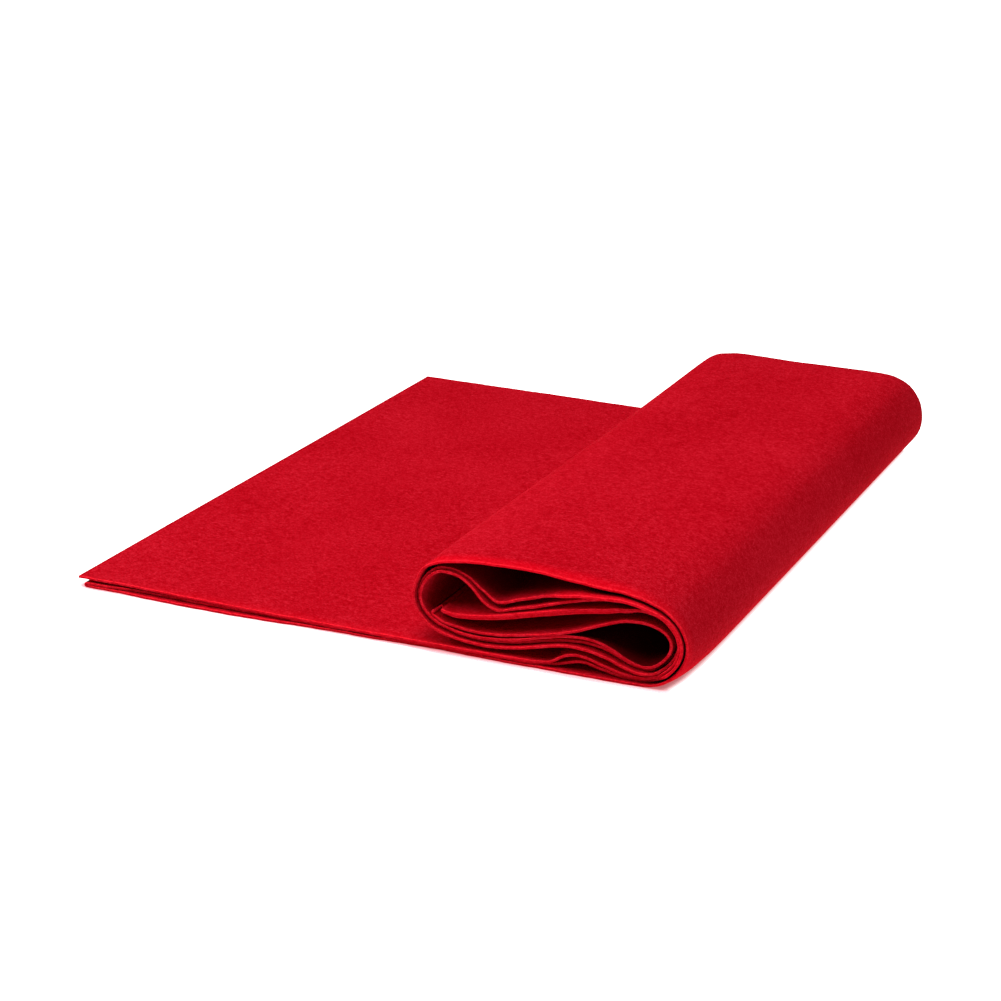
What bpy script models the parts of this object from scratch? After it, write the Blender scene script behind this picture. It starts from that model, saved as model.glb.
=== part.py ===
"""A length of thick red felt, folded in three along its length and rolled up flat.

One strip of felt is folded back and forth into three plies. The stack lies flat on
its left, is rolled about one and a half turns on its right, and the roll has sunk
flat under its own weight. The strip is one closed solid: the same ribbon section is
worked out at several stations from the near edge to the far edge, and joined.

Frame: metres, +Z up. X runs along the strip, from the flat left end to the roll.
Y runs from the near cut edge to the far one. The tables and functions count from the
near left corner of the flat part, on the floor. The finished solid is then placed with
its origin on the floor under the middle of its box.
"""

from collections import namedtuple
import math

import bpy
import bmesh
from mathutils import Matrix
import numpy as np

MM = 0.001

# Felt and plies
FELT_THICKNESS = 1.4 * MM
PLY_PITCH = 1.76 * MM
LEAST_GAP = -0.16 * MM
FELT_WIDTH = 450.0 * MM
FOLD_STEPS = 5

# Cut edges: how far the near edge drifts back, and how far each ply is set back
NEAR_DRIFT = 7.0 * MM
DRIFT_LENGTH = 370.0 * MM
SET_BACK = {"outer": 0.0 * MM, "middle": 3.0 * MM, "inner": 1.2 * MM}
SET_BACK_RAMP = 50.0 * MM
FAR_SET_BACK = 2.0 * MM
FAR_SHARE_OF_SET_BACK = 0.5
INNER_PLY_OVERHANG = 5.0 * MM

# Stations between the near and the far edge, and the steps between two table rows
STATIONS = 5
STEPS_PER_ROW = 2
FAR_GAP_SHARE = 0.85
HEIGHT_WAVE = 0.012
HEIGHT_WAVE_PHASE = 0.6

# Felt colour
FELT_RED = (0.56, 0.003, 0.014, 1.0)
FELT_ROUGHNESS = 0.95

# The way of the outer ply's centre line, in millimetres. x and z are for the near edge,
# far_dx and far_dz are what the far edge adds to them. gap_outer is what the air between
# the outer and the middle ply has over the usual one, gap_inner the same between the
# middle and the inner ply. It is below zero where the plies are pressed together.
RouteRow = namedtuple("RouteRow", "place x z far_dx far_dz gap_outer gap_inner")

ROUTE = [
    RouteRow("folded left end", 0.9, 0.7, 0.0, 0.0, 0.0, 1.5),
    RouteRow("flat part", 90.0, 0.7, 0.0, 0.0, 0.0, 1.2),
    RouteRow("flat part, right", 175.0, 0.7, 0.0, 0.0, -0.1, -0.1),
    RouteRow("roll begins", 225.0, 0.7, 0.0, 0.0, -0.15, -0.15),
    RouteRow("before the wave", 278.0, 0.7, 0.0, 0.0, -0.1, 0.0),
    RouteRow("foot of the wave", 292.0, 0.7, 0.0, 0.0, 0.0, 0.1),
    RouteRow("front of the wave", 301.0, 0.7, 0.0, 0.0, 2.4, 3.0),
    RouteRow("crest of the wave", 309.0, 0.7, 0.0, 0.0, 4.5, 2.2),
    RouteRow("back of the wave", 320.0, 0.7, 0.0, 0.0, 2.4, 1.8),
    RouteRow("end of the wave", 331.0, 0.7, 0.0, 0.0, 0.3, 0.9),
    RouteRow("last on the floor", 341.0, 0.7, 4.0, 0.0, 0.0, 0.0),
    RouteRow("right bend, foot", 351.5, 2.6, 4.5, -0.3, 0.0, 0.0),
    RouteRow("right bend, low", 361.0, 9.0, 4.8, -0.4, 0.0, 0.0),
    RouteRow("right bend, side low", 367.2, 16.8, 4.6, -0.2, 0.0, 0.0),
    RouteRow("right bend, side", 369.9, 25.5, 3.8, 1.0, 0.0, 0.0),
    RouteRow("right bend, side high", 367.4, 34.2, 3.8, 2.8, 0.0, 0.0),
    RouteRow("right bend, high", 360.6, 41.9, 3.8, 3.7, 0.0, 0.0),
    RouteRow("right bend, top", 350.5, 47.2, 3.0, 3.4, 0.3, 0.0),
    RouteRow("top, right", 337.0, 50.8, 2.0, 1.2, 1.6, 0.5),
    RouteRow("top, hump", 321.0, 53.0, 1.0, -0.9, 3.0, 2.0),
    RouteRow("top, slope", 304.0, 54.4, 0.0, -2.0, 6.0, 4.2),
    RouteRow("top, gap", 287.0, 55.2, 0.0, -2.8, 11.8, 4.6),
    RouteRow("top, gap deepens", 272.0, 55.4, 0.0, -2.6, 16.4, 4.2),
    RouteRow("top, valley", 261.0, 55.3, 0.0, -2.2, 19.6, 3.6),
    RouteRow("top, valley side", 252.0, 55.0, 0.0, -1.6, 15.6, 3.2),
    RouteRow("top, gap closes", 243.5, 54.3, 0.0, -0.8, 8.8, 0.9),
    RouteRow("top, left", 235.0, 53.1, 0.0, -0.5, 4.4, 0.1),
    RouteRow("left bend, top", 226.0, 51.0, 0.0, -0.2, 2.4, 0.1),
    RouteRow("left bend, high", 218.5, 44.6, 0.0, 0.4, 0.8, 0.1),
    RouteRow("left bend, side high", 213.8, 36.5, 0.0, 0.2, 0.3, 0.1),
    RouteRow("left bend, side", 212.6, 28.5, 0.0, 0.0, 0.1, 0.1),
    RouteRow("left bend, low", 215.8, 20.6, 0.0, 0.0, 0.0, 0.0),
    RouteRow("left bend, foot", 222.8, 14.0, 0.0, 0.0, 0.0, 0.0),
    RouteRow("second layer, left", 233.0, 10.2, 0.0, 0.0, 0.0, 0.0),
    RouteRow("second layer, low", 247.0, 8.0, 0.0, 0.0, 0.0, 0.0),
    RouteRow("second layer, rising", 262.0, 8.0, 0.0, 0.0, 0.6, 0.0),
    RouteRow("second layer, slope", 277.0, 10.3, 0.0, 0.0, 0.6, 0.2),
    RouteRow("second layer, shoulder", 291.0, 13.7, 0.0, 0.0, 0.3, 0.8),
    RouteRow("second layer, crest", 303.0, 15.7, 0.0, 0.0, 0.4, 1.3),
    RouteRow("second layer, falling", 314.0, 15.2, 0.0, 0.0, 1.1, 1.4),
    RouteRow("second layer, down", 324.0, 12.9, 0.0, 0.0, 1.6, 0.7),
    RouteRow("second layer, foot", 334.5, 9.2, 2.0, -0.2, 0.8, 0.0),
    RouteRow("inner bend, foot", 343.5, 7.3, 4.0, -0.2, 0.0, 0.0),
    RouteRow("inner bend, low", 350.7, 8.3, 4.4, -0.3, 0.0, 0.0),
    RouteRow("inner bend, side low", 357.6, 13.0, 4.6, -0.2, 0.0, 0.0),
    RouteRow("inner bend, side", 362.6, 20.2, 4.2, 0.4, 0.0, 0.0),
    RouteRow("inner bend, side high", 363.8, 27.8, 3.8, 1.4, 0.0, 0.5),
    RouteRow("inner bend, high", 361.0, 33.8, 3.8, 2.4, 0.0, 1.1),
    RouteRow("inner bend, shoulder", 355.2, 38.6, 3.6, 3.0, 0.1, 1.7),
    RouteRow("inner bend, top", 346.0, 41.5, 3.0, 2.6, 0.2, 2.3),
    RouteRow("inner top, right", 334.0, 41.6, 2.0, 1.6, 0.3, 3.0),
    RouteRow("inner top, parting", 320.0, 39.9, 1.0, 0.6, 0.3, 5.2),
    RouteRow("inner top, slope", 305.0, 37.1, 0.0, 0.0, 0.3, 8.2),
    RouteRow("inner top, middle", 291.0, 33.9, 0.0, 0.0, 0.3, 9.2),
    RouteRow("inner top, down", 277.0, 30.4, 0.0, 0.0, 0.3, 8.8),
    RouteRow("inner top, lower", 262.0, 26.7, 0.0, 0.0, 0.3, 7.7),
    RouteRow("inner top, low", 247.0, 24.1, 0.0, 0.0, 0.3, 5.8),
    RouteRow("inner top, lowest", 237.0, 23.5, 0.0, 0.0, 0.3, 4.2),
    RouteRow("free end of the outer ply", 229.0, 23.9, 0.0, 0.0, 0.4, 2.6),
    RouteRow("folded inner end", 225.4, 24.6, 0.0, 0.0, 0.3, 1.4),
]
OUTER_PLY_LAST_ROW = "free end of the outer ply"

Lane = namedtuple("Lane", "name points")


def slopes_at_rows(knots, values):
    """The slope of a smooth curve at each row, from its two neighbours."""
    steps = np.diff(knots)
    secants = np.diff(values, axis=0) / steps[:, None]
    slopes = np.empty_like(values)
    slopes[0] = secants[0]
    slopes[-1] = secants[-1]
    before = steps[:-1, None]
    after = steps[1:, None]
    slopes[1:-1] = (secants[:-1] * after + secants[1:] * before) / (before + after)
    return slopes


def smooth_rows(values, steps_per_row):
    """Points of a smooth curve through the rows, spaced by the length of the way."""
    chords = np.hypot(*np.diff(values[:, :2], axis=0).T)
    knots = np.concatenate([[0.0], np.cumsum(chords)])
    slopes = slopes_at_rows(knots, values)
    points = []
    for row in range(len(values) - 1):
        span = knots[row + 1] - knots[row]
        for step in range(steps_per_row):
            f = step / steps_per_row
            start = (1 + 2 * f) * (1 - f) ** 2 * values[row]
            start_slope = f * (1 - f) ** 2 * span * slopes[row]
            end = f * f * (3 - 2 * f) * values[row + 1]
            end_slope = f * f * (f - 1) * span * slopes[row + 1]
            points.append(start + start_slope + end + end_slope)
    points.append(values[-1])
    return np.array(points)


def left_normals(points):
    """Unit normals on the left of the way, which is the inside of the roll."""
    ways = np.gradient(points, axis=0)
    ways /= np.hypot(ways[:, 0], ways[:, 1])[:, None]
    return np.stack([-ways[:, 1], ways[:, 0]], axis=1)


def route_at(share):
    """The route's rows between the near edge (share 0) and the far edge (share 1)."""
    gap_share = 1.0 + (FAR_GAP_SHARE - 1.0) * share
    rows = [
        (
            row.x + row.far_dx * share,
            row.z + row.far_dz * share,
            row.gap_outer * gap_share,
            row.gap_inner * gap_share,
        )
        for row in ROUTE
    ]
    return np.array(rows) * MM


def ply_lanes(share):
    """Centre lines of the three plies at one station."""
    route = smooth_rows(route_at(share), STEPS_PER_ROW)
    outer = route[:, :2]
    outer[:, 1] = np.maximum(outer[:, 1], FELT_THICKNESS / 2)
    normals = left_normals(outer)
    gap_outer = np.maximum(route[:, 2], LEAST_GAP)
    gap_inner = np.maximum(route[:, 3], LEAST_GAP)
    middle = outer + normals * (PLY_PITCH + gap_outer)[:, None]
    inner = middle + normals * (PLY_PITCH + gap_inner)[:, None]
    overhang = inner[0] - np.array([INNER_PLY_OVERHANG, 0.0])
    inner = np.vstack([overhang, inner])
    last = [row.place for row in ROUTE].index(OUTER_PLY_LAST_ROW) * STEPS_PER_ROW
    return [
        Lane("outer", outer[last::-1]),
        Lane("middle", middle),
        Lane("inner", inner[::-1]),
    ]


def fold_points(start, end, way):
    """A half turn from one ply's end to the next one's, bulging along the way."""
    centre = (start + end) / 2
    radius = np.hypot(*(end - start)) / 2
    arm = (start - centre) / radius
    points = []
    for step in range(1, FOLD_STEPS):
        angle = math.pi * step / FOLD_STEPS
        points.append(centre + radius * (math.cos(angle) * arm + math.sin(angle) * way))
    return np.array(points)


def strip_centre_line(share):
    """The whole strip's centre line: outer ply, left fold, middle ply, inner fold, inner ply."""
    lanes = ply_lanes(share)
    points = [lanes[0].points]
    plies = ["outer"] * len(lanes[0].points)
    for before, after in zip(lanes[:-1], lanes[1:]):
        way = before.points[-1] - before.points[-2]
        way /= np.hypot(*way)
        fold = fold_points(before.points[-1], after.points[0], way)
        points += [fold, after.points]
        plies += [after.name] * (len(fold) + len(after.points))
    return np.vstack(points), plies


def near_edge_y(x, ply):
    """Where a ply's near cut edge lies at this place of the strip."""
    drift = NEAR_DRIFT * min(max(x / DRIFT_LENGTH, 0.0), 1.0)
    ramp = min(max(x / SET_BACK_RAMP, 0.0), 1.0)
    return drift + SET_BACK[ply] * ramp * ramp * (3 - 2 * ramp)


def far_edge_y(x, ply):
    """Where a ply's far cut edge lies: the ply set back in front stands out behind."""
    ramp = min(max(x / SET_BACK_RAMP, 0.0), 1.0)
    return FELT_WIDTH + ramp * (FAR_SHARE_OF_SET_BACK * SET_BACK[ply] - FAR_SET_BACK)


def station_points(share):
    """Both faces of the strip at one station, as two rows of points."""
    centre, plies = strip_centre_line(share)
    normals = left_normals(centre)
    height = 1.0 + HEIGHT_WAVE * math.sin(2 * math.pi * share + HEIGHT_WAVE_PHASE)
    faces = []
    for side in (0.5, -0.5):
        points = []
        for place, normal, ply in zip(centre, normals, plies):
            x, z = place + side * FELT_THICKNESS * normal
            near = near_edge_y(place[0], ply)
            far = far_edge_y(place[0], ply)
            z = max(z, 0.0)
            points.append((x, near + (far - near) * share, z * height))
        faces.append(points)
    return faces


def strip_mesh():
    """The closed solid of the strip: two faces, two cut edges and two ends."""
    mesh = bpy.data.meshes.new("felt_length")
    bm = bmesh.new()
    grid = []
    for station in range(STATIONS):
        share = station / (STATIONS - 1)
        grid.append([[bm.verts.new(p) for p in face] for face in station_points(share)])
    count = len(grid[0][0])
    for here, there in zip(grid[:-1], grid[1:]):
        for k in range(count - 1):
            bm.faces.new((here[0][k], there[0][k], there[0][k + 1], here[0][k + 1]))
            bm.faces.new((here[1][k], here[1][k + 1], there[1][k + 1], there[1][k]))
        for k in (0, count - 1):
            bm.faces.new((here[0][k], here[1][k], there[1][k], there[0][k]))
    for edge in (grid[0], grid[-1]):
        for k in range(count - 1):
            bm.faces.new((edge[0][k], edge[0][k + 1], edge[1][k + 1], edge[1][k]))
    bmesh.ops.triangulate(bm, faces=bm.faces[:])
    bmesh.ops.recalc_face_normals(bm, faces=bm.faces[:])
    bm.to_mesh(mesh)
    bm.free()
    centre_on_floor(mesh)
    return mesh


def centre_on_floor(mesh):
    """Move the solid so that the origin is under the middle of its box."""
    points = np.array([vert.co[:] for vert in mesh.vertices])
    middle = (points.min(axis=0) + points.max(axis=0)) / 2
    mesh.transform(Matrix.Translation((-middle[0], -middle[1], -points[:, 2].min())))


def felt_material():
    """Matt red felt."""
    material = bpy.data.materials.new("felt_red")
    material.use_nodes = True
    shader = material.node_tree.nodes["Principled BSDF"]
    shader.inputs["Base Color"].default_value = FELT_RED
    shader.inputs["Roughness"].default_value = FELT_ROUGHNESS
    shader.inputs["Metallic"].default_value = 0.0
    return material


def build():
    """Remove what the scene holds and make the strip."""
    for thing in list(bpy.data.objects):
        bpy.data.objects.remove(thing, do_unlink=True)
    strip = bpy.data.objects.new("felt_length", strip_mesh())
    strip.data.materials.append(felt_material())
    bpy.context.scene.collection.objects.link(strip)
    return strip


build()
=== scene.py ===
"""Looks of the rolled felt: one strip of thick red felt, folded in three and rolled up flat.

The strip is worked out from the same route as its solid, in a finer mesh: shorter
steps round the bends, soft cut edges that are a little uneven, and a top ply that
droops at its far edge and curls down at its near one. Metres, +Z up, in the frame
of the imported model.
"""

from collections import namedtuple
import math

import bpy
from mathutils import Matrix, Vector
import numpy as np


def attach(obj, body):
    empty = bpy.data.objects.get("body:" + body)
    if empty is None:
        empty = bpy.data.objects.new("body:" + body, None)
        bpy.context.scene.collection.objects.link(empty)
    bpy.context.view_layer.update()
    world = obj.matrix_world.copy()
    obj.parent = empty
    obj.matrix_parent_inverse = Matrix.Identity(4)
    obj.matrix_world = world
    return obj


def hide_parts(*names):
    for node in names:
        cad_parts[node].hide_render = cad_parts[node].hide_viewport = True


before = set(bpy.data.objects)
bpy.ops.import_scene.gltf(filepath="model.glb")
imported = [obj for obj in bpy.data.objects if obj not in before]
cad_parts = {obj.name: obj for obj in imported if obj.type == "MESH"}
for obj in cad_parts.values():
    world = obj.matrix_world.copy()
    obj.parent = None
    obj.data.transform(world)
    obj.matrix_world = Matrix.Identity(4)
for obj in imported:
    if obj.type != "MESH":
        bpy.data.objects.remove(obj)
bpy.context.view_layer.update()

MM = 0.001
NODE = "felt_length"

# Felt and plies
FELT_THICKNESS = 1.5 * MM
PLY_PITCH = 1.76 * MM
LEAST_GAP = -0.16 * MM
FELT_WIDTH = 450.0 * MM
FOLD_STEPS = 9

# Cut edges: how far the near edge drifts back, and how far each ply is set back
NEAR_DRIFT = 7.0 * MM
DRIFT_LENGTH = 370.0 * MM
SET_BACK = {"outer": 0.0 * MM, "middle": 3.0 * MM, "inner": 1.2 * MM}
SET_BACK_RAMP = 50.0 * MM
FAR_SET_BACK = 2.0 * MM
FAR_SHARE_OF_SET_BACK = 0.5
INNER_PLY_OVERHANG = 5.0 * MM

# What changes from the near edge to the far edge
FAR_GAP_SHARE = 0.85
HEIGHT_WAVE = 0.012
HEIGHT_WAVE_PHASE = 0.6

# The bulge at the lower right: what it loses close to the near edge, and at the far edge
BULGE_NEAR_LOSS = 0.8
BULGE_REACH = 18.0 * MM
BULGE_FAR_LOSS = 0.62

# The middle of the strip's box, counted from the near left corner of the flat part
BOX_MIDDLE_X = 185.15 * MM
BOX_MIDDLE_Y = 225.0 * MM

# Fineness of the mesh
STEP_LENGTH = 3.8 * MM
LEAST_STEPS = 3
EDGE_STATIONS = np.array([0.0, 0.1, 0.25, 0.5, 1.0, 2.0, 3.5, 5.5, 8.5, 13.0, 20.0]) * MM
INNER_STATIONS = 20

# The way of the outer ply's centre line, in millimetres. x and z are for the near edge,
# far_dx and far_dz are what the far edge adds to them. gap_outer is what the air between
# the outer and the middle ply has over the usual one, gap_inner the same between the
# middle and the inner ply. It is below zero where the plies are pressed together.
# bulge is how far the outer ply alone stands off to the right behind the near edge.
COLUMNS = "place x z far_dx far_dz gap_outer gap_inner bulge"
RouteRow = namedtuple("RouteRow", COLUMNS, defaults=(0.0,))

ROUTE = [
    RouteRow("folded left end", 0.9, 0.7, 0.0, 0.0, 0.0, 1.5),
    RouteRow("flat part", 90.0, 0.7, 0.0, 0.0, 0.1, 0.8),
    RouteRow("flat part, right", 175.0, 0.7, 0.0, 0.0, -0.1, -0.1),
    RouteRow("roll begins", 225.0, 0.7, 0.0, 0.0, -0.15, -0.15),
    RouteRow("before the wave", 278.0, 0.7, 0.0, 0.0, -0.1, 0.0),
    RouteRow("foot of the wave", 292.0, 0.7, 0.0, 0.0, 0.0, 0.1),
    RouteRow("front of the wave", 301.0, 0.7, 0.0, 0.0, 2.4, 3.0),
    RouteRow("crest of the wave", 309.0, 0.7, 0.0, 0.0, 4.5, 2.2),
    RouteRow("back of the wave", 320.0, 0.7, 0.0, 0.0, 2.4, 1.8),
    RouteRow("end of the wave", 331.0, 0.7, 0.0, 0.0, 0.3, 0.9, 1.0),
    RouteRow("last on the floor", 341.0, 0.7, 4.0, 0.0, 0.0, 0.0, 4.0),
    RouteRow("right bend, foot", 351.5, 2.6, 4.5, -0.3, 0.0, -0.1, 7.9),
    RouteRow("right bend, low", 361.0, 9.0, 4.8, -0.4, 0.1, -0.15, 7.2),
    RouteRow("right bend, side low", 366.9, 16.8, 4.9, -0.2, 0.4, -0.15, 3.6),
    RouteRow("right bend, side", 369.3, 25.5, 4.2, 1.0, 1.0, -0.15, 1.3),
    RouteRow("right bend, side high", 367.0, 34.2, 4.0, 2.8, 1.0, -0.15, 0.5),
    RouteRow("right bend, high", 360.6, 41.9, 3.8, 3.7, 1.0, -0.15),
    RouteRow("right bend, top", 350.5, 47.2, 3.0, 3.4, 1.2, 0.0),
    RouteRow("top, right", 337.0, 50.8, 2.0, 1.2, 1.6, 0.5),
    RouteRow("top, hump", 321.0, 53.0, 1.0, -0.9, 3.0, 2.0),
    RouteRow("top, slope", 304.0, 54.4, 0.0, -2.0, 6.0, 4.2),
    RouteRow("top, gap", 287.0, 55.2, 0.0, -2.8, 11.8, 4.6),
    RouteRow("top, gap deepens", 272.0, 55.4, 0.0, -2.6, 16.4, 4.2),
    RouteRow("top, valley", 261.0, 55.3, 0.0, -2.2, 19.6, 3.6),
    RouteRow("top, valley side", 252.0, 55.0, 0.0, -1.6, 15.6, 3.2),
    RouteRow("top, gap closes", 243.5, 54.3, 0.0, -0.8, 8.8, 0.9),
    RouteRow("top, left", 235.0, 53.1, 0.0, -0.5, 4.4, -0.2),
    RouteRow("left bend, top", 226.0, 51.0, 0.0, -0.2, 2.4, -0.2),
    RouteRow("left bend, high", 218.5, 44.6, 0.0, 0.4, 0.8, -0.2),
    RouteRow("left bend, side high", 213.8, 36.5, 0.0, 0.2, 0.3, -0.2),
    RouteRow("left bend, side", 212.6, 28.5, 0.0, 0.0, 0.1, -0.2),
    RouteRow("left bend, low", 215.8, 20.6, 0.0, 0.0, 0.0, 0.0),
    RouteRow("left bend, foot", 222.8, 14.0, 0.0, 0.0, 0.0, 0.0),
    RouteRow("second layer, left", 233.0, 10.2, 0.0, 0.0, 0.0, 0.0),
    RouteRow("second layer, low", 247.0, 8.0, 0.0, 0.0, 0.0, 0.0),
    RouteRow("second layer, rising", 262.0, 8.0, 0.0, 0.0, 0.6, 0.0),
    RouteRow("second layer, slope", 277.0, 10.3, 0.0, 0.0, 0.6, 0.2),
    RouteRow("second layer, shoulder", 291.0, 13.7, 0.0, 0.0, 0.3, 0.8),
    RouteRow("second layer, crest", 303.0, 15.7, 0.0, 0.0, 0.4, 1.3),
    RouteRow("second layer, falling", 314.0, 15.2, 0.0, 0.0, 1.1, 1.4),
    RouteRow("second layer, down", 324.0, 12.9, 0.0, 0.0, 1.6, 0.7),
    RouteRow("second layer, foot", 334.5, 9.2, 2.0, -0.2, 0.8, 0.0),
    RouteRow("inner bend, foot", 343.5, 7.3, 4.0, -0.2, 0.0, 0.0),
    RouteRow("inner bend, low", 350.7, 8.3, 4.4, -0.3, 0.0, 0.0),
    RouteRow("inner bend, side low", 357.6, 13.0, 4.6, -0.2, 0.0, 0.0),
    RouteRow("inner bend, side", 362.6, 20.2, 4.2, 0.4, 0.0, 0.0),
    RouteRow("inner bend, side high", 363.8, 27.8, 3.8, 1.4, 0.0, 0.5),
    RouteRow("inner bend, high", 361.0, 33.8, 3.8, 2.4, 0.0, 1.1),
    RouteRow("inner bend, shoulder", 355.2, 38.6, 3.6, 3.0, 0.1, 1.7),
    RouteRow("inner bend, top", 346.0, 41.5, 3.0, 2.6, 0.2, 2.3),
    RouteRow("inner top, right", 334.0, 41.6, 2.0, 1.6, 0.3, 3.0),
    RouteRow("inner top, parting", 320.0, 39.9, 1.0, 0.6, 0.3, 5.2),
    RouteRow("inner top, slope", 305.0, 37.1, 0.0, 0.0, 0.3, 8.2),
    RouteRow("inner top, middle", 291.0, 33.9, 0.0, 0.0, 0.3, 9.2),
    RouteRow("inner top, down", 277.0, 30.4, 0.0, 0.0, 0.3, 8.8),
    RouteRow("inner top, lower", 262.0, 26.7, 0.0, 0.0, 0.3, 7.7),
    RouteRow("inner top, low", 247.0, 24.1, 0.0, 0.0, 0.3, 5.8),
    RouteRow("inner top, lowest", 237.0, 23.5, 0.0, 0.0, 0.3, 4.2),
    RouteRow("free end of the outer ply", 229.0, 23.9, 0.0, 0.0, 0.4, 2.6),
    RouteRow("folded inner end", 225.4, 24.6, 0.0, 0.0, 0.3, 1.4),
]
OUTER_PLY_LAST_ROW = "free end of the outer ply"

# How each ply lies at its near cut edge, from one row to another. curl is how far the
# edge bends towards the inside of the roll, back how far it lies behind the usual edge,
# both in millimetres, and light how much painted highlight the felt gets there.
NearRow = namedtuple("NearRow", "ply first last curl back light")

NEAR_EDGES = [
    NearRow("outer", "flat part", "flat part", 0.0, -2.6, 0.0),
    NearRow("outer", "roll begins", "roll begins", 0.0, 1.5, 0.0),
    NearRow("middle", "flat part", "before the wave", 0.0, -2.2, 0.10),
    NearRow("inner", "flat part", "before the wave", -0.5, -1.5, 0.10),
    NearRow("middle", "right bend, low", "right bend, high", 0.0, -4.5, 0.15),
    NearRow("middle", "right bend, top", "top, slope", 0.0, -6.0, 0.20),
    NearRow("inner", "right bend, side low", "right bend, top", 0.0, -1.7, 0.10),
    NearRow("outer", "right bend, low", "right bend, side high", 0.2, 0.0, 0.15),
    NearRow("outer", "right bend, high", "right bend, top", 1.5, 0.0, 0.15),
    NearRow("outer", "top, right", "left bend, top", 1.9, 0.0, 0.30),
    NearRow("outer", "top, hump", "top, slope", 0.9, 0.0, 0.0),
    NearRow("middle", "top, hump", "top, valley", 1.5, 0.0, 0.0),
    NearRow("outer", "inner bend, side low", "inner bend, top", 0.0, 2.5, 0.0),
    NearRow("middle", "inner bend, side low", "inner bend, top", 0.0, 7.5, 0.0),
    NearRow("outer", "inner top, parting", "inner top, lowest", 0.7, 0.0, 0.15),
    NearRow("middle", "inner top, parting", "inner top, lowest", 1.0, 0.0, 0.15),
    NearRow("middle", "folded inner end", "folded inner end", 0.0, 6.0, 0.0),
    NearRow("inner", "inner top, parting", "inner top, low", 0.5, 0.0, 0.0),
]

# How much of the felt's colour is left deep in the roll, where little light comes, and how
# far in from the cut edges it darkens, in millimetres. start is how far a ply stands out
# into the light in front of the next one. Where a row gives none, the edge is darker too.
SHADE_COLUMNS = "ply side first last least reach start"
USUAL_START = -0.1
ShadeRow = namedtuple("ShadeRow", SHADE_COLUMNS, defaults=(USUAL_START,))

SHADES = [
    ShadeRow("outer", "inside", "right bend, foot", "top, hump", 0.10, 0.4),
    ShadeRow("middle", "outside", "right bend, foot", "right bend, high", 0.10, 0.4, 1.3),
    ShadeRow("middle", "outside", "right bend, top", "top, hump", 0.10, 0.5, 2.8),
    ShadeRow("outer", "inside", "top, slope", "left bend, top", 0.35, 2.0),
    ShadeRow("middle", "outside", "top, slope", "left bend, high", 0.40, 5.0),
    ShadeRow("inner", "inside", "second layer, low", "second layer, slope", 0.45, 5.0),
    ShadeRow("inner", "inside", "second layer, shoulder", "folded inner end", 0.15, 0.35),
    ShadeRow("outer", "inside", "inner bend, low", "inner bend, top", 0.25, 0.6),
    ShadeRow("inner", "outside", "right bend, low", "top, hump", 0.60, 0.6),
    ShadeRow("outer", "outside", "inner bend, low", "inner top, right", 0.25, 0.8),
    ShadeRow("outer", "outside", "inner top, down", "folded inner end", 0.65, 3.0),
]

Lane = namedtuple("Lane", "name points rows")


def row_index(place):
    """The number of the route's row with this name."""
    return [row.place for row in ROUTE].index(place)


def bulge_share(depth):
    """How much of the outer ply's bulge there is at a distance from the near edge."""
    near = 1 - BULGE_NEAR_LOSS * math.exp(-depth / BULGE_REACH)
    return near * (1 - BULGE_FAR_LOSS * depth / FELT_WIDTH)


def route_at(share):
    """The route's rows between the near edge (share 0) and the far edge (share 1)."""
    gap_share = 1.0 + (FAR_GAP_SHARE - 1.0) * share
    rows = [
        (
            row.x + row.far_dx * share,
            row.z + row.far_dz * share,
            row.gap_outer * gap_share,
            row.gap_inner * gap_share,
            row.bulge * bulge_share(share * FELT_WIDTH),
        )
        for row in ROUTE
    ]
    return np.array(rows) * MM


def steps_in_rows():
    """How many steps the mesh takes from each row to the next."""
    chords = np.hypot(*np.diff(route_at(0.0)[:, :2], axis=0).T)
    return [max(LEAST_STEPS, math.ceil(chord / STEP_LENGTH)) for chord in chords]


STEPS = steps_in_rows()


def smooth_rows(values):
    """Points of a smooth curve through the rows, spaced by the length of the way."""
    chords = np.hypot(*np.diff(values[:, :2], axis=0).T)
    secants = np.diff(values, axis=0) / chords[:, None]
    before = chords[:-1, None]
    after = chords[1:, None]
    inner_slopes = (secants[:-1] * after + secants[1:] * before) / (before + after)
    slopes = np.vstack([secants[:1], inner_slopes, secants[-1:]])
    points = []
    for row, steps in enumerate(STEPS):
        f = (np.arange(steps) / steps)[:, None]
        points.append(
            (1 + 2 * f) * (1 - f) ** 2 * values[row]
            + f * (1 - f) ** 2 * chords[row] * slopes[row]
            + f * f * (3 - 2 * f) * values[row + 1]
            + f * f * (f - 1) * chords[row] * slopes[row + 1]
        )
    points.append(values[-1:])
    return np.vstack(points)


def left_normals(points):
    """Unit normals on the left of the way, which is the inside of the roll."""
    ways = np.gradient(points, axis=0)
    ways /= np.hypot(ways[:, 0], ways[:, 1])[:, None]
    return np.stack([-ways[:, 1], ways[:, 0]], axis=1)


def smooth_step(value):
    """0 below 0, 1 above 1, and a soft ramp between."""
    value = np.clip(value, 0.0, 1.0)
    return value * value * (3 - 2 * value)


def row_places():
    """The route's row number, with its fraction, at each smooth point."""
    places = [row + np.arange(steps) / steps for row, steps in enumerate(STEPS)]
    return np.concatenate(places + [[len(STEPS)]])


def between_rows(rows, first, last):
    """1 from one named row to another, with a soft ramp of one row on either side."""
    rising = smooth_step(rows - row_index(first) + 1)
    falling = smooth_step(row_index(last) + 1 - rows)
    return rising * falling


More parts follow.
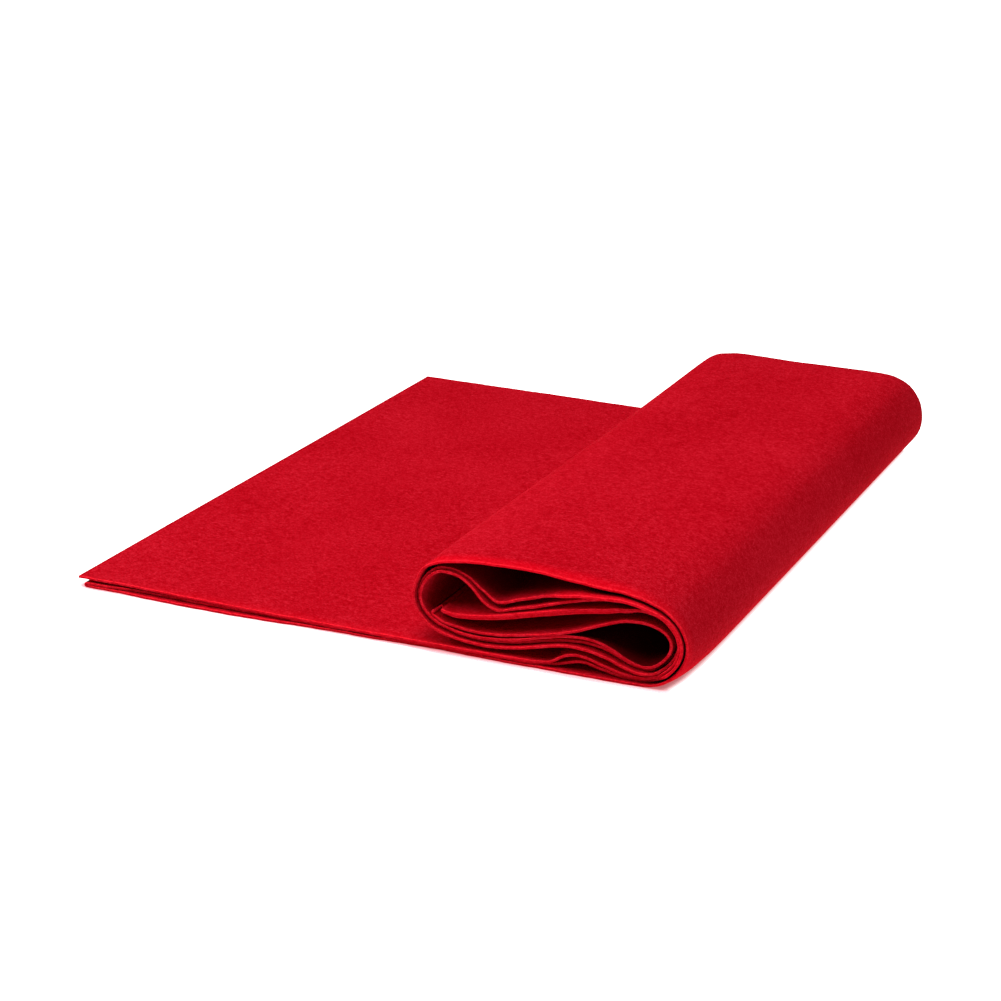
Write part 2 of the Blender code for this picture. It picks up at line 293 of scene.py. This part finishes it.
def ply_lanes(share):
    """Centre lines of the three plies at one station."""
    route = smooth_rows(route_at(share))
    outer = route[:, :2]
    outer[:, 1] = np.maximum(outer[:, 1], FELT_THICKNESS / 2)
    normals = left_normals(outer)
    gap_outer = np.maximum(route[:, 2], LEAST_GAP)
    gap_inner = np.maximum(route[:, 3], LEAST_GAP)
    middle = outer + normals * (PLY_PITCH + gap_outer)[:, None]
    inner = middle + normals * (PLY_PITCH + gap_inner)[:, None]
    outer[:, 0] += np.maximum(route[:, 4], 0.0)
    inner = np.vstack([inner[0] - np.array([INNER_PLY_OVERHANG, 0.0]), inner])
    last = sum(STEPS[: row_index(OUTER_PLY_LAST_ROW)])
    rows = row_places()
    return [
        Lane("outer", outer[last::-1], rows[last::-1]),
        Lane("middle", middle, rows),
        Lane("inner", inner[::-1], np.concatenate([[0.0], rows])[::-1]),
    ]


def fold_points(start, end, way):
    """A half turn from one ply's end to the next one's, bulging along the way."""
    centre = (start + end) / 2
    radius = np.hypot(*(end - start)) / 2
    arm = (start - centre) / radius
    angles = (math.pi * np.arange(1, FOLD_STEPS) / FOLD_STEPS)[:, None]
    return centre + radius * (np.cos(angles) * arm + np.sin(angles) * way)


def strip_centre_line(share):
    """The strip's centre line from the outer ply's free end to the inner ply's free end.

    Gives its points, each point's place in the route's rows and the name of its ply.
    """
    lanes = ply_lanes(share)
    points = [lanes[0].points]
    rows = [lanes[0].rows]
    plies = ["outer"] * len(lanes[0].points)
    for before, after in zip(lanes[:-1], lanes[1:]):
        way = before.points[-1] - before.points[-2]
        way /= np.hypot(*way)
        fold = fold_points(before.points[-1], after.points[0], way)
        points += [fold, after.points]
        rows += [np.full(len(fold), after.rows[0]), after.rows]
        plies += [after.name] * (len(fold) + len(after.points))
    return np.vstack(points), np.concatenate(rows), np.array(plies)


# Uneven cut edges: small waves, each with its length in metres and its phase
EDGE_WOBBLE = 0.55 * MM
EDGE_WOBBLE_WAVES = [(0.173, 0.4), (0.067, 2.1), (0.029, 4.0), (0.0113, 1.2)]
NEAR_WOBBLE_SHIFT = 0.0
FAR_WOBBLE_SHIFT = 2.6

# Soft cut edges: rounded rims, and cut faces that bulge out a little
EDGE_ROUNDING = 0.5 * MM
EDGE_LEAST_THICKNESS = 0.84
EDGE_BULGE = 0.12 * MM
CUT_FACE_ROWS = (0.24, 0.0, -0.24)

# How far the top ply is raised, and how close to its far edge it comes down again
TOP_RAISE = 1.5 * MM
RAISE_REACH = 6.0 * MM

# The least height of the underside, so that the felt is never in the floor
FLOOR_GAP = 0.02 * MM

# How far in from the near edge the curl and the painted highlight on the lip reach
CURL_REACH = 5.0 * MM
HIGHLIGHT_FULL = 2.5 * MM
HIGHLIGHT_FADE = 5.5 * MM

# How far the painted highlight on the rims reaches, how much of it the cut faces get, and how
# much painted bounce light lightens the foot of the right bend
RIM_HIGHLIGHT_REACH = 0.35 * MM
CUT_FACE_HIGHLIGHT = 0.06
FOOT_PAINTED_BOUNCE = 0.30

# 1 where the left of the strip is the inside of the roll, -1 where it is the outside
LEFT_OF_STRIP = {"outer": -1, "middle": 1, "inner": -1}


def edge_wobble(along, shift):
    """Small waves of a hand cut edge, along the strip's own length."""
    waves = [
        np.sin(2 * math.pi * along / length + phase + shift)
        for length, phase in EDGE_WOBBLE_WAVES
    ]
    return EDGE_WOBBLE * sum(waves) / len(waves)


def near_edge_sum(rows, plies, column):
    """What one column of the near edges' table adds up to at each point."""
    total = np.zeros(len(rows))
    for edge in NEAR_EDGES:
        share = between_rows(rows, edge.first, edge.last) * (plies == edge.ply)
        total += share * getattr(edge, column)
    return total


def edge_places(centre, rows, plies):
    """Y of the near and the far cut edge at each point of the strip."""
    lengths = np.hypot(*np.diff(centre, axis=0).T)
    along = np.concatenate([[0.0], np.cumsum(lengths)])
    x = centre[:, 0]
    set_back = np.array([SET_BACK[ply] for ply in plies])
    ramp = np.clip(x / SET_BACK_RAMP, 0.0, 1.0)
    near = NEAR_DRIFT * np.clip(x / DRIFT_LENGTH, 0.0, 1.0) + set_back * smooth_step(ramp)
    near += near_edge_sum(rows, plies, "back") * MM + edge_wobble(along, NEAR_WOBBLE_SHIFT)
    far = FELT_WIDTH + ramp * (FAR_SHARE_OF_SET_BACK * set_back - FAR_SET_BACK)
    far += edge_wobble(along, FAR_WOBBLE_SHIFT)
    return near, far


def station_depths():
    """Distance of each station from the near edge."""
    inner = np.linspace(EDGE_STATIONS[-1], FELT_WIDTH - EDGE_STATIONS[-1], INNER_STATIONS)
    return np.concatenate([EDGE_STATIONS, inner[1:-1], FELT_WIDTH - EDGE_STATIONS[::-1]])


def edge_thickness(to_edge):
    """The share of the felt's thickness that is left near a rounded cut edge."""
    inward = 1 - min(to_edge / EDGE_ROUNDING, 1.0)
    return EDGE_LEAST_THICKNESS + (1 - EDGE_LEAST_THICKNESS) * math.sqrt(1 - inward ** 2)


def shade_at(rows, plies, across, to_edge):
    """The share of its colour that one face has left at a station."""
    shade = np.ones(len(rows))
    for row in SHADES:
        side = "inside" if across * LEFT_OF_STRIP[row.ply] > 0 else "outside"
        if row.side == side:
            inward = max(to_edge - row.start * MM, 0.0) / (row.reach * MM)
            lost = (1 - row.least) * (1 - math.exp(-inward))
            here = between_rows(rows, row.first, row.last) * (plies == row.ply)
            shade = np.minimum(shade, 1 - lost * here)
    return shade


class Strip:
    """Rings of points along the felt strip, in order round its width."""

    def __init__(self):
        centre, self.rows, self.plies = strip_centre_line(0.0)
        self.near, self.far = edge_places(centre, self.rows, self.plies)
        left_way = np.array([LEFT_OF_STRIP[ply] for ply in self.plies])
        self.near_curl = near_edge_sum(self.rows, self.plies, "curl") * MM * left_way
        # Painted highlight on the near lips, and painted bounce light on the foot of the right
        # bend
        self.near_painted_highlight = near_edge_sum(self.rows, self.plies, "light")
        foot = between_rows(self.rows, "right bend, foot", "right bend, low")
        self.foot_painted_bounce = FOOT_PAINTED_BOUNCE * foot * (self.plies == "outer")
        self.on_top = between_rows(self.rows, "right bend, high", "left bend, high")
        self.on_top = self.on_top * (self.plies == "outer")
        self.count = len(self.rows)
        self.rings = []
        self.glows = []
        self.lights = []
        self.shades = []

    def add_ring(self, depth, across, glow, bulge=0.0):
        """One ring at a distance from the near edge, at a share of the felt's thickness."""
        share = depth / FELT_WIDTH
        to_edge = min(depth, FELT_WIDTH - depth)
        centre = strip_centre_line(share)[0]
        curl = self.near_curl * math.exp(-depth / CURL_REACH)
        face = centre + (across * FELT_THICKNESS + curl)[:, None] * left_normals(centre)
        height = 1.0 + HEIGHT_WAVE * math.sin(2 * math.pi * share + HEIGHT_WAVE_PHASE)
        raised = self.on_top * TOP_RAISE * (1 - math.exp((depth - FELT_WIDTH) / RAISE_REACH))
        z = np.maximum(face[:, 1] * height + raised, FLOOR_GAP)
        y = self.near + (self.far - self.near) * share + bulge
        self.rings.append(np.stack([face[:, 0] - BOX_MIDDLE_X, y - BOX_MIDDLE_Y, z], axis=1))
        # glow is the share of painted rim highlight at this ring
        self.glows.append(np.full(self.count, glow))
        # The felt is painted lighter at the near lip as a highlight, and at the foot of the
        # right bend as bounce light
        light = 1 - smooth_step((depth - HIGHLIGHT_FULL) / HIGHLIGHT_FADE)
        self.lights.append(np.maximum(self.near_painted_highlight * light, self.foot_painted_bounce))
        self.shades.append(shade_at(self.rows, self.plies, across, to_edge))

    def add_face(self, depths, turn):
        """The rings of one face of the felt."""
        for depth in depths:
            to_edge = min(depth, FELT_WIDTH - depth)
            # A painted highlight on the rims, strongest at the cut edge
            glow = math.exp(-to_edge / RIM_HIGHLIGHT_REACH)
            self.add_ring(depth, 0.5 * turn * edge_thickness(to_edge), glow)

    def add_cut_face(self, depth, turn, bulge):
        """The rings of one cut face, which bulges out a little."""
        for across in CUT_FACE_ROWS:
            self.add_ring(depth, across * turn, CUT_FACE_HIGHLIGHT, bulge)

    def faces(self, stations):
        """Faces of the closed strip: round its width, and its two ends."""
        rings = len(self.rings)
        steps = np.arange(self.count - 1)
        faces = []
        for ring in range(rings):
            a = ring * self.count + steps
            b = (ring + 1) % rings * self.count + steps
            faces += np.stack([a, b, b + 1, a + 1], axis=1).tolist()
        cut = len(CUT_FACE_ROWS)
        other = 2 * stations + cut - 1
        for end, turned in ((0, True), (self.count - 1, False)):
            parts = [
                [station, station + 1, other - station - 1, other - station]
                for station in range(stations - 1)
            ]
            far_rim = list(range(stations - 1, stations + cut + 1))
            near_rim = list(range(other, rings)) + [0]
            for part in parts + [far_rim, near_rim]:
                corners = [ring * self.count + end for ring in part]
                faces.append(corners[::-1] if turned else corners)
        return faces


def make_strip():
    """The strip's rings: its left face, the far cut face, its right face, the near one."""
    strip = Strip()
    depths = station_depths()
    strip.add_face(depths, 1.0)
    strip.add_cut_face(FELT_WIDTH, 1.0, EDGE_BULGE)
    strip.add_face(depths[::-1], -1.0)
    strip.add_cut_face(0.0, -1.0, -EDGE_BULGE)
    return strip


def make_felt():
    """The felt as one closed, smooth shaded mesh that replaces its solid."""
    strip = make_strip()
    mesh = bpy.data.meshes.new("felt_sheet")
    points = np.vstack(strip.rings).tolist()
    mesh.from_pydata(points, [], strip.faces(len(station_depths())))
    mesh.update()
    mesh.shade_smooth()
    looks = {"cut_edge_highlight": strip.glows, "painted_light": strip.lights, "shade": strip.shades}
    for name, values in looks.items():
        attribute = mesh.attributes.new(name, "FLOAT", "POINT")
        attribute.data.foreach_set("value", np.concatenate(values).astype(np.float32))
    piece = bpy.data.objects.new("felt_sheet", mesh)
    bpy.context.scene.collection.objects.link(piece)
    piece.data.materials.append(felt_material())
    return piece


# Felt material: its own reds, the reds of its painted highlights and painted bounce light, of
# its painted rim highlights, and painted deep shade
FELT_DARK = (0.238, 0.0, 0.0012, 1.0)
FELT_RED = (0.347, 0.0014, 0.0070, 1.0)
FELT_LIGHT = (0.460, 0.0105, 0.0225, 1.0)
PAINTED_LIGHT_RED = (0.70, 0.0, 0.007, 1.0)
RIM_HIGHLIGHT_RED = (0.86, 0.014, 0.028, 1.0)
SHADE_RED = (0.02, 0.0, 0.0, 1.0)
FELT_SURFACE = {
    "Roughness": 0.95,
    "Specular IOR Level": 0.004,
    "Sheen Weight": 0.006,
    "Sheen Roughness": 0.5,
    "Sheen Tint": (1.0, 0.14, 0.24, 1.0),
}

# Painted highlight on the rims: the share that comes from above, the rest, and uneven specks
# in it
RIM_UP_SHARE = 0.55
RIM_LEVEL_HIGHLIGHT = 0.35
SPECKLE_NOISE = {"Scale": 850.0, "Detail": 2.0}
SPECKLE_SPREAD = {"From Min": 0.3, "From Max": 0.7, "To Min": 0.2, "To Max": 1.8}

# Layers of noise: how far each is turned, how stretched, how fine and how much it counts
NoiseLayer = namedtuple("NoiseLayer", "name turn stretch scale share")
NOISE_LAYERS = [
    NoiseLayer("fibres along", 0.15, 0.35, 1500.0, 0.27),
    NoiseLayer("fibres across", 1.35, 0.35, 1700.0, 0.27),
    NoiseLayer("fibres slanted", 0.75, 0.40, 2900.0, 0.24),
    NoiseLayer("mottling", 0.30, 0.60, 350.0, 0.15),
    NoiseLayer("clouds", 0.00, 1.00, 15.0, 0.07),
]
FIBRE_LAYERS = 3
NOISE_DETAIL = 3.0
NOISE_ROUGHNESS = 0.6
TONE_DARK = 0.42
TONE_LIGHT = 0.58
BUMP_STRENGTH = 0.35
BUMP_DISTANCE = 0.4 * MM

# Where a material's nodes stand in its drawing
NODES_LEFT = -1800
NODES_TOP = 300
NODES_APART = 180
NODES_DROP = 60
NODES_IN_SLANT = 7


def input_sockets(node, values):
    """Set a node's own inputs by name."""
    for name, value in values.items():
        node.inputs[name].default_value = value


class NodeMaker:
    """Adds nodes of one material from left to right, in slanting rows."""

    def __init__(self, tree):
        self.tree = tree
        self.added = 0

    def node(self, kind, **settings):
        """A new node with its settings."""
        node = self.tree.nodes.new(kind)
        drop = NODES_DROP * (self.added % NODES_IN_SLANT)
        node.location = (NODES_LEFT + NODES_APART * self.added, NODES_TOP - drop)
        self.added += 1
        for name, value in settings.items():
            setattr(node, name, value)
        return node

    def link(self, output, node, name):
        """Link an output to a node's input."""
        self.tree.links.new(output, node.inputs[name])

    def maths(self, operation, first, second, clamp=False):
        """A calculation with two sockets, or with a socket and a number."""
        node = self.node("ShaderNodeMath", operation=operation, use_clamp=clamp)
        for number, value in enumerate((first, second)):
            if isinstance(value, float):
                node.inputs[number].default_value = value
            else:
                self.link(value, node, number)
        return node.outputs[0]

    def blend(self, factor, first, second):
        """A mix of two colours, each a socket or a colour."""
        node = self.node("ShaderNodeMix", data_type="RGBA")
        self.link(factor, node, "Factor")
        for name, value in (("A", first), ("B", second)):
            if isinstance(value, tuple):
                node.inputs[name].default_value = value
            else:
                self.link(value, node, name)
        return node.outputs["Result"]

    def attribute(self, name):
        """The factor of one of the mesh's own attributes."""
        return self.node("ShaderNodeAttribute", attribute_name=name).outputs["Fac"]


def noise_tones(maker, place):
    """The mixed noise of all layers, and of the fibre layers alone."""
    tones = []
    for layer in NOISE_LAYERS:
        turn = maker.node("ShaderNodeMapping", name=layer.name)
        turn.inputs["Rotation"].default_value = (0.0, 0.0, layer.turn)
        turn.inputs["Scale"].default_value = (layer.stretch, 1.0, 1.0)
        maker.link(place, turn, "Vector")
        noise = maker.node("ShaderNodeTexNoise")
        fineness = {"Scale": layer.scale, "Detail": NOISE_DETAIL, "Roughness": NOISE_ROUGHNESS}
        input_sockets(noise, fineness)
        maker.link(turn.outputs["Vector"], noise, "Vector")
        part = maker.maths("MULTIPLY", noise.outputs["Fac"], layer.share)
        tones.append(maker.maths("ADD", tones[-1], part) if tones else part)
    return tones[-1], tones[FIBRE_LAYERS - 1]


def felt_reds(maker, tone):
    """The felt's own reds, from dark to light along a tone."""
    ramp = maker.node("ShaderNodeValToRGB")
    stops = ramp.color_ramp.elements
    stops[0].position = TONE_DARK
    stops[0].color = FELT_DARK
    stops[1].position = TONE_LIGHT
    stops[1].color = FELT_LIGHT
    stops.new((TONE_DARK + TONE_LIGHT) / 2).color = FELT_RED
    maker.link(tone, ramp, "Fac")
    return ramp.outputs["Color"]


def painted_rim_highlight(maker, place):
    """How much painted highlight the rims of the cut edges get, most where they face up."""
    normal = maker.node("ShaderNodeNewGeometry").outputs["Normal"]
    split = maker.node("ShaderNodeSeparateXYZ")
    maker.link(normal, split, "Vector")
    upward = maker.maths("MULTIPLY", split.outputs["Z"], RIM_UP_SHARE)
    upward = maker.maths("ADD", upward, RIM_LEVEL_HIGHLIGHT, clamp=True)
    glow = maker.maths("MULTIPLY", maker.attribute("cut_edge_highlight"), upward)
    speckle = maker.node("ShaderNodeTexNoise")
    input_sockets(speckle, SPECKLE_NOISE)
    maker.link(place, speckle, "Vector")
    uneven = maker.node("ShaderNodeMapRange")
    maker.link(speckle.outputs["Fac"], uneven, "Value")
    input_sockets(uneven, SPECKLE_SPREAD)
    return maker.maths("MULTIPLY", glow, uneven.outputs["Result"], clamp=True)


def felt_material():
    """Matted red fibres: streaks at several angles and soft mottling, with painted highlights
    on the cut edges and rims, painted bounce light at the foot of the right bend and painted
    shade deep in the roll.
    """
    material = bpy.data.materials.new("felt_red_fibres")
    material.use_nodes = True
    shader = material.node_tree.nodes["Principled BSDF"]
    input_sockets(shader, FELT_SURFACE)
    maker = NodeMaker(material.node_tree)
    place = maker.node("ShaderNodeTexCoord").outputs["Object"]
    tone, fibres = noise_tones(maker, place)
    reds = felt_reds(maker, tone)
    glow = painted_rim_highlight(maker, place)
    # Over the felt's own reds: painted highlight and bounce light, then painted rim
    # highlights, then painted shade
    colour = maker.blend(maker.attribute("painted_light"), reds, PAINTED_LIGHT_RED)
    colour = maker.blend(glow, colour, RIM_HIGHLIGHT_RED)
    colour = maker.blend(maker.attribute("shade"), SHADE_RED, colour)
    maker.link(colour, shader, "Base Color")
    bump = maker.node("ShaderNodeBump")
    input_sockets(bump, {"Strength": BUMP_STRENGTH, "Distance": BUMP_DISTANCE})
    maker.link(fibres, bump, "Height")
    maker.link(bump.outputs["Normal"], shader, "Normal")
    return material


# Floor
FLOOR_SIZE = 24.0
FLOOR_WHITE = (0.60, 0.60, 0.60, 1.0)
FLOOR_GLOW = (1.35, 1.35, 1.35, 1.0)
FLOOR_SURFACE = {"Roughness": 0.14, "Emission Strength": 1.0}

# Painted contact shade on the floor close to the felt, with a painted pink reflection of the
# felt in it: thin and dark beside it, wider and pinker in front of it
ContactShade = namedtuple("ContactShade", "name reach darkest white glow")
PAINTED_CONTACT_SHADES = [
    ContactShade("beside", 4.5 * MM, 0.30, (0.45, 0.20, 0.21, 1.0), (0.33, 0.13, 0.14, 1.0)),
    ContactShade("in front", 18.0 * MM, 0.50, (0.55, 0.26, 0.29, 1.0), (0.55, 0.22, 0.25, 1.0)),
]
CONTACT_SAMPLES = 8
CONTACT_LIGHTEST = 0.98

# Where along Y the second kind takes over from the first
FRONT_STARTS = -212.0 * MM
FRONT_FULL = -222.0 * MM

# Light: a wide one overhead, two softboxes and a pale room round them
OVERHEAD_WAY = (-0.30, -0.05, 1.0)
OVERHEAD_LEVEL = 0.61
OVERHEAD_WIDTH = math.radians(60.0)
ROOM_WHITE = (1.0, 1.0, 1.0, 1.0)
ROOM_LEVEL = 0.12

# Softboxes: where each one stands, how wide it is and its power in watts
Softbox = namedtuple("Softbox", "name place size power")
SOFTBOXES = [
    Softbox("front left", (-1.50, -1.10, 1.50), 1.2, 30.0),
    Softbox("above the near edge", (0.05, -0.32, 1.25), 0.9, 11.0),
]

# Camera: its focal length in the photo's pixels, and its place from the near left corner
LENS_SENSOR = 36.0
PHOTO_SIDE = 1001
PHOTO_FOCUS = 2226.7
CAMERA_FROM_CORNER = (0.7273, -0.9863, 0.4847)
CAMERA_PITCH = math.radians(19.74)
CAMERA_YAW = math.radians(25.04)


def painted_shade_clearance(maker, zone):
    """How clear the floor is of the painted contact shade: 0 where the felt stands over the
    floor, 1 out of its reach.
    """
    contact = maker.node("ShaderNodeAmbientOcclusion", name=zone.name, samples=CONTACT_SAMPLES)
    contact.inputs["Distance"].default_value = zone.reach
    clear = maker.node("ShaderNodeMapRange", interpolation_type="SMOOTHSTEP")
    maker.link(contact.outputs["AO"], clear, "Value")
    input_sockets(clear, {"From Min": zone.darkest, "From Max": CONTACT_LIGHTEST})
    return clear.outputs["Result"]


def floor_material():
    """White with a slight gloss and some light of its own, less of both near the felt, where
    painted shade and a painted pink reflection of the felt darken and tint them.
    """
    material = bpy.data.materials.new("floor_white")
    material.use_nodes = True
    shader = material.node_tree.nodes["Principled BSDF"]
    input_sockets(shader, FLOOR_SURFACE)
    maker = NodeMaker(material.node_tree)
    whites = []
    glows = []
    # Each zone blends the floor's white and its own light towards painted shade and a painted
    # pink reflection
    for zone in PAINTED_CONTACT_SHADES:
        clear = painted_shade_clearance(maker, zone)
        whites.append(maker.blend(clear, zone.white, FLOOR_WHITE))
        glows.append(maker.blend(clear, zone.glow, FLOOR_GLOW))
    split = maker.node("ShaderNodeSeparateXYZ")
    maker.link(maker.node("ShaderNodeTexCoord").outputs["Object"], split, "Vector")
    front = maker.node("ShaderNodeMapRange", interpolation_type="SMOOTHSTEP")
    maker.link(split.outputs["Y"], front, "Value")
    input_sockets(front, {"From Min": FRONT_STARTS, "From Max": FRONT_FULL})
    front = front.outputs["Result"]
    maker.link(maker.blend(front, *whites), shader, "Base Color")
    maker.link(maker.blend(front, *glows), shader, "Emission Color")
    return material


def make_floor():
    """A plain pale floor round the felt."""
    half = FLOOR_SIZE / 2
    mesh = bpy.data.meshes.new("floor")
    corners = [(-half, -half, 0.0), (half, -half, 0.0), (half, half, 0.0), (-half, half, 0.0)]
    mesh.from_pydata(corners, [], [(0, 1, 2, 3)])
    floor = bpy.data.objects.new("floor", mesh)
    bpy.context.scene.collection.objects.link(floor)
    mesh.materials.append(floor_material())


def aimed_light(name, kind, level, way, place=(0.0, 0.0, 0.0)):
    """A light at a place, shining back along the way that points to it."""
    data = bpy.data.lights.new(name, kind)
    data.energy = level
    light = bpy.data.objects.new(name, data)
    light.location = place
    light.rotation_euler = Vector(way).to_track_quat("Z", "Y").to_euler()
    bpy.context.scene.collection.objects.link(light)
    return data


def make_lights():
    """Soft studio light, brightest from above and from the front left."""
    world = bpy.data.worlds.new("studio")
    world.use_nodes = True
    room = {"Color": ROOM_WHITE, "Strength": ROOM_LEVEL}
    input_sockets(world.node_tree.nodes["Background"], room)
    bpy.context.scene.world = world
    overhead = aimed_light("overhead", "SUN", OVERHEAD_LEVEL * math.pi, OVERHEAD_WAY)
    overhead.angle = OVERHEAD_WIDTH
    for row in SOFTBOXES:
        softbox = aimed_light(row.name, "AREA", row.power, row.place, row.place)
        softbox.shape = "DISK"
        softbox.size = row.size


def make_camera():
    """The photograph's view, from the flat part's near left corner."""
    data = bpy.data.cameras.new("camera")
    data.sensor_width = LENS_SENSOR
    data.lens = PHOTO_FOCUS * LENS_SENSOR / PHOTO_SIDE
    camera = bpy.data.objects.new("camera", data)
    x, y, z = CAMERA_FROM_CORNER
    camera.location = (x - BOX_MIDDLE_X, y - BOX_MIDDLE_Y, z)
    camera.rotation_euler = (math.pi / 2 - CAMERA_PITCH, 0.0, CAMERA_YAW)
    bpy.context.scene.collection.objects.link(camera)
    bpy.context.scene.camera = camera


make_camera()
make_lights()
make_floor()
felt = make_felt()
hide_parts(NODE)
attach(felt, "root")
bpy.context.scene.view_settings.view_transform = "Standard"
